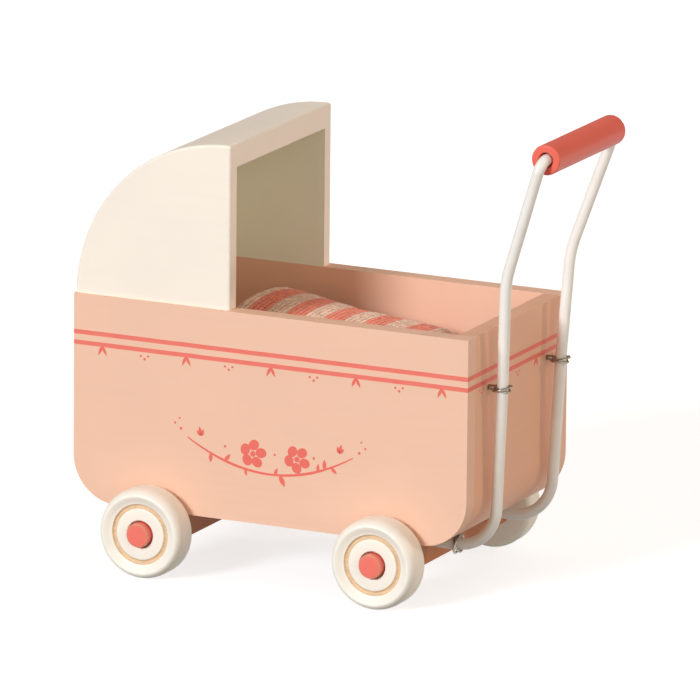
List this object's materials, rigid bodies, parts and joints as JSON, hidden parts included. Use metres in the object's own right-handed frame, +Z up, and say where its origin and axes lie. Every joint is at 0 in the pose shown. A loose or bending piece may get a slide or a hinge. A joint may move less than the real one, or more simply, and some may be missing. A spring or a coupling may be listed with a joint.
{
  "type": "doll stroller",
  "caption": "Small wooden doll stroller: box body with fixed quarter-round hood, turned wheels on pegs, bent wire push handle with round grip, and a striped knitted blanket.",
  "frame": {"origin": "on the ground, under the centre of the overall bounding box", "axes": "+X towards the head end with the hood, +Y towards the left side, +Z up"},
  "size_m": [0.138, 0.0844, 0.1272],
  "materials": {
    "peach_paint": "matte paint on wood",
    "cream_paint": "matte paint on wood",
    "wheel_paint": "satin paint on turned wood",
    "coral_paint": "satin paint on wood",
    "bare_wood": "bare",
    "wire_paint": "semi-gloss",
    "steel": "dark nickel",
    "mattress_cloth": "plain cotton",
    "knit": "striped cotton knit"
  },
  "bodies": {
    "pram_body": {"side_panel_left": "peach_paint", "side_panel_right": "peach_paint", "head_wall": "peach_paint", "foot_wall": "peach_paint", "floor_panel": "peach_paint", "hood_side_left": "cream_paint", "hood_side_right": "cream_paint", "hood_roof": "cream_paint", "hood_dowels": "bare_wood", "front_axle_block": "peach_paint", "rear_axle_block": "peach_paint", "axle_block_screws": "steel", "peg_front_left": "coral_paint", "peg_front_right": "coral_paint", "peg_rear_left": "coral_paint", "peg_rear_right": "coral_paint", "handle_wire": "wire_paint", "handle_grip": "coral_paint", "screw_eye_upper_left": "steel", "screw_eye_upper_right": "steel", "screw_eye_lower_left": "steel", "screw_eye_lower_right": "steel", "mattress": "mattress_cloth"},
    "wheel_front_left": {"wheel_front_left": "wheel_paint"},
    "wheel_front_right": {"wheel_front_right": "wheel_paint"},
    "wheel_rear_left": {"wheel_rear_left": "wheel_paint"},
    "wheel_rear_right": {"wheel_rear_right": "wheel_paint"},
    "blanket": {"knitted_blanket": "knit"}
  },
  "joints": [
    {"name": "wheel_front_left_spin", "type": "hinge", "parent": "pram_body", "child": "wheel_front_left", "pos_m": [0.04436, 0.0373, 0.0124], "axis": [0, 1, 0], "continuous": true},
    {"name": "wheel_front_right_spin", "type": "hinge", "parent": "pram_body", "child": "wheel_front_right", "pos_m": [0.04436, -0.0373, 0.0124], "axis": [0, 1, 0], "continuous": true},
    {"name": "wheel_rear_left_spin", "type": "hinge", "parent": "pram_body", "child": "wheel_rear_left", "pos_m": [-0.02474, 0.0373, 0.0124], "axis": [0, 1, 0], "continuous": true},
    {"name": "wheel_rear_right_spin", "type": "hinge", "parent": "pram_body", "child": "wheel_rear_right", "pos_m": [-0.02474, -0.0373, 0.0124], "axis": [0, 1, 0], "continuous": true},
    {"name": "blanket_lift", "type": "slide", "parent": "pram_body", "child": "blanket", "axis": [0, 0, 1], "range_m": [0, 0.03]}
  ]
}
